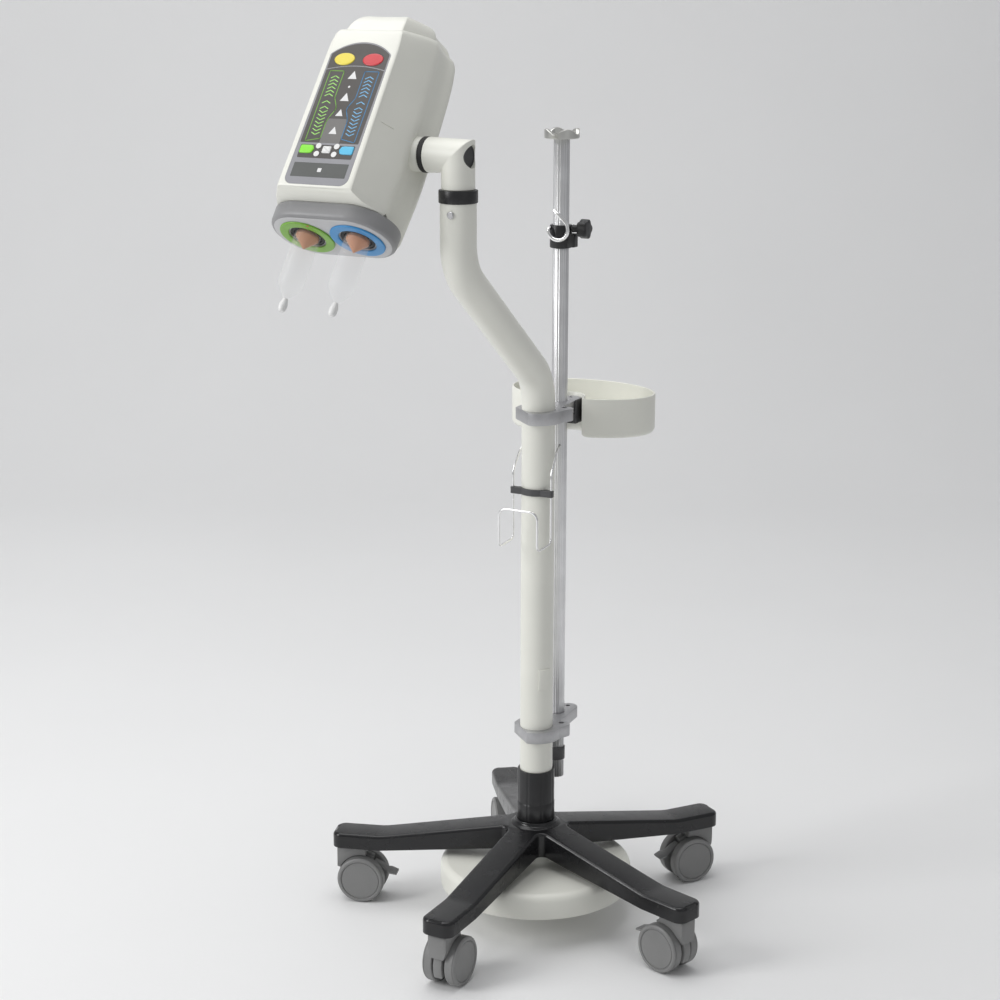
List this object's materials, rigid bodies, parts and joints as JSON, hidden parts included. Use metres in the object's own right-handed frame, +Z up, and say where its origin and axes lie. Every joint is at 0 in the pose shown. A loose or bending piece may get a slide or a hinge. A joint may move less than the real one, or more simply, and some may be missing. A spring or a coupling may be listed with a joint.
{
  "type": "dual syringe injector on wheeled pedestal stand",
  "caption": "Dual syringe injector head on an offset wheeled pedestal with an infusion pole, kidney tray and wire bottle holder.",
  "frame": {"origin": "middle of the object's footprint box, on the floor under the casters", "axes": "+Z up, -Y to the front where the keypad faces, +X to the right seen from the front"},
  "size_m": [0.6266, 0.6759, 1.3878],
  "materials": {
    "black_nylon": "satin moulded",
    "black_plastic": "satin",
    "dark_plastic": "satin",
    "caster_grey": "matt moulded",
    "cream_paint": "satin powder coat",
    "cream_plastic": "satin moulded",
    "zinc_steel": "zinc plated",
    "motor_steel": "plain",
    "clamp_aluminium": "blasted",
    "pole_aluminium": "drawn and fluted",
    "hook_steel": "cast, satin",
    "chrome_wire": "bright",
    "band_grey": "satin",
    "green_plastic": "satin",
    "blue_plastic": "satin",
    "copper_plastic": "satin",
    "clear_plastic": "clear",
    "white_plastic": "satin",
    "keypad_film": "satin film",
    "yellow_key": "satin",
    "red_key": "satin",
    "green_key": "satin",
    "blue_key": "satin",
    "board_green": "solder mask"
  },
  "bodies": {
    "stand": {"star_base": "black_nylon", "hub_sleeve": "black_plastic", "counterweight": "cream_paint", "counterweight_bolt": "zinc_steel", "main_tube": "cream_paint", "tube_plug": "cream_plastic", "top_collar": "black_plastic", "collar_screw": "zinc_steel", "lower_clamp": "clamp_aluminium", "lower_clamp_screw": "zinc_steel", "upper_clamp": "clamp_aluminium", "upper_clamp_screw": "zinc_steel", "iv_pole": "pole_aluminium", "pole_end_sleeve": "dark_plastic", "hook_plate": "hook_steel", "tray": "cream_plastic", "tray_bracket": "dark_plastic", "wire_holder": "chrome_wire", "wire_strap": "dark_plastic"},
    "pole_hook": {"hook_collar": "black_plastic", "hook_loop": "chrome_wire"},
    "hook_knob": {"hook_knob": "black_plastic"},
    "arm": {"elbow_arm": "cream_paint", "arm_end_cap": "black_plastic", "tilt_ring": "black_plastic"},
    "head": {"head_front_shell": "cream_plastic", "head_rear_shell": "cream_plastic", "syringe_plate": "band_grey", "keypad_panel": "keypad_film", "green_ring": "green_plastic", "blue_ring": "blue_plastic", "drive_unit_left": "motor_steel", "drive_unit_right": "motor_steel", "circuit_board": "board_green"},
    "caster_1": {"caster_1_housing": "caster_grey"},
    "caster_1_wheels": {"caster_1_wheels": "caster_grey"},
    "caster_1_brake": {"caster_1_brake": "caster_grey"},
    "caster_2": {"caster_2_housing": "caster_grey"},
    "caster_2_wheels": {"caster_2_wheels": "caster_grey"},
    "caster_2_brake": {"caster_2_brake": "caster_grey"},
    "caster_3": {"caster_3_housing": "caster_grey"},
    "caster_3_wheels": {"caster_3_wheels": "caster_grey"},
    "caster_3_brake": {"caster_3_brake": "caster_grey"},
    "caster_4": {"caster_4_housing": "caster_grey"},
    "caster_4_wheels": {"caster_4_wheels": "caster_grey"},
    "caster_4_brake": {"caster_4_brake": "caster_grey"},
    "caster_5": {"caster_5_housing": "caster_grey"},
    "caster_5_wheels": {"caster_5_wheels": "caster_grey"},
    "caster_5_brake": {"caster_5_brake": "caster_grey"},
    "plunger_left": {"plunger_left": "copper_plastic"},
    "syringe_left": {"syringe_left": "clear_plastic", "syringe_tip_left": "white_plastic"},
    "plunger_right": {"plunger_right": "copper_plastic"},
    "syringe_right": {"syringe_right": "clear_plastic", "syringe_tip_right": "white_plastic"},
    "button_yellow": {"button_yellow": "yellow_key"},
    "button_red": {"button_red": "red_key"},
    "button_green": {"button_green": "green_key"},
    "button_blue": {"button_blue": "blue_key"},
    "button_white": {"button_white": "white_plastic"}
  },
  "joints": [
    {"name": "caster_1_swivel", "type": "hinge", "parent": "stand", "child": "caster_1", "pos_m": [0, -0.2372, 0.1], "axis": [0, 0, 1], "continuous": true},
    {"name": "caster_1_roll", "type": "hinge", "parent": "caster_1", "child": "caster_1_wheels", "pos_m": [0, -0.2141, 0.0375], "axis": [1, 0, 0], "continuous": true},
    {"name": "caster_1_brake_press", "type": "hinge", "parent": "caster_1", "child": "caster_1_brake", "pos_m": [0, -0.1922, 0.06], "axis": [1, 0, 0], "range_deg": [-10, 0]},
    {"name": "caster_2_swivel", "type": "hinge", "parent": "stand", "child": "caster_2", "pos_m": [0.28798, -0.02797, 0.1], "axis": [0, 0, 1], "continuous": true},
    {"name": "caster_2_roll", "type": "hinge", "parent": "caster_2", "child": "caster_2_wheels", "pos_m": [0.26601, -0.02083, 0.0375], "axis": [0.309, 0.9511, 0], "continuous": true},
    {"name": "caster_2_brake_press", "type": "hinge", "parent": "caster_2", "child": "caster_2_brake", "pos_m": [0.24518, -0.01406, 0.06], "axis": [0.309, 0.9511, 0], "range_deg": [-10, 0]},
    {"name": "caster_3_swivel", "type": "hinge", "parent": "stand", "child": "caster_3", "pos_m": [0.17798, 0.31057, 0.1], "axis": [0, 0, 1], "continuous": true},
    {"name": "caster_3_roll", "type": "hinge", "parent": "caster_3", "child": "caster_3_wheels", "pos_m": [0.1644, 0.29188, 0.0375], "axis": [-0.809, 0.5878, 0], "continuous": true},
    {"name": "caster_3_brake_press", "type": "hinge", "parent": "caster_3", "child": "caster_3_brake", "pos_m": [0.15153, 0.27416, 0.06], "axis": [-0.809, 0.5878, 0], "range_deg": [-10, 0]},
    {"name": "caster_4_swivel", "type": "hinge", "parent": "stand", "child": "caster_4", "pos_m": [-0.17798, 0.31057, 0.1], "axis": [0, 0, 1], "continuous": true},
    {"name": "caster_4_roll", "type": "hinge", "parent": "caster_4", "child": "caster_4_wheels", "pos_m": [-0.1644, 0.29188, 0.0375], "axis": [-0.809, -0.5878, 0], "continuous": true},
    {"name": "caster_4_brake_press", "type": "hinge", "parent": "caster_4", "child": "caster_4_brake", "pos_m": [-0.15153, 0.27416, 0.06], "axis": [-0.809, -0.5878, 0], "range_deg": [-10, 0]},
    {"name": "caster_5_swivel", "type": "hinge", "parent": "stand", "child": "caster_5", "pos_m": [-0.28798, -0.02797, 0.1], "axis": [0, 0, 1], "continuous": true},
    {"name": "caster_5_roll", "type": "hinge", "parent": "caster_5", "child": "caster_5_wheels", "pos_m": [-0.26601, -0.02083, 0.0375], "axis": [0.309, -0.9511, 0], "continuous": true},
    {"name": "caster_5_brake_press", "type": "hinge", "parent": "caster_5", "child": "caster_5_brake", "pos_m": [-0.24518, -0.01406, 0.06], "axis": [0.309, -0.9511, 0], "range_deg": [-10, 0]},
    {"name": "hook_slide", "type": "slide", "parent": "stand", "child": "pole_hook", "axis": [0, 0, 1], "range_m": [-0.2, 0.09]},
    {"name": "hook_knob_turn", "type": "hinge", "parent": "pole_hook", "child": "hook_knob", "pos_m": [0.03, 0.1369, 1.0765], "axis": [1, 0, 0], "range_deg": [-180, 180]},
    {"name": "head_pan", "type": "hinge", "parent": "stand", "child": "arm", "pos_m": [0, -0.1817, 1.16], "axis": [0, 0, 1], "range_deg": [-50, 180]},
    {"name": "head_tilt", "type": "hinge", "parent": "arm", "child": "head", "pos_m": [-0.0523, -0.1817, 1.2072], "axis": [1, 0, 0], "range_deg": [-140, 45]},
    {"name": "plunger_left_slide", "type": "slide", "parent": "head", "child": "plunger_left", "axis": [0, -0.599, -0.8007], "range_m": [0, 0.05]},
    {"name": "syringe_left_twist", "type": "hinge", "parent": "head", "child": "syringe_left", "pos_m": [-0.1902, -0.26466, 1.0963], "axis": [0, -0.599, -0.8007], "range_deg": [0, 90]},
    {"name": "plunger_right_slide", "type": "slide", "parent": "head", "child": "plunger_right", "axis": [0, -0.599, -0.8007], "range_m": [0, 0.05]},
    {"name": "syringe_right_twist", "type": "hinge", "parent": "head", "child": "syringe_right", "pos_m": [-0.1098, -0.26466, 1.0963], "axis": [0, -0.599, -0.8007], "range_deg": [0, 90]},
    {"name": "button_yellow_press", "type": "slide", "parent": "head", "child": "button_yellow", "axis": [0, 0.8007, -0.599], "range_m": [0, 0.0008], "stiffness_N_per_m": 600, "springref_m": -0.0005},
    {"name": "button_red_press", "type": "slide", "parent": "head", "child": "button_red", "axis": [0, 0.8007, -0.599], "range_m": [0, 0.0008], "stiffness_N_per_m": 600, "springref_m": -0.0005},
    {"name": "button_green_press", "type": "slide", "parent": "head", "child": "button_green", "axis": [0, 0.8007, -0.599], "range_m": [0, 0.0008], "stiffness_N_per_m": 600, "springref_m": -0.0005},
    {"name": "button_blue_press", "type": "slide", "parent": "head", "child": "button_blue", "axis": [0, 0.8007, -0.599], "range_m": [0, 0.0008], "stiffness_N_per_m": 600, "springref_m": -0.0005},
    {"name": "button_white_press", "type": "slide", "parent": "head", "child": "button_white", "axis": [0, 0.8007, -0.599], "range_m": [0, 0.0008], "stiffness_N_per_m": 600, "springref_m": -0.0005}
  ]
}
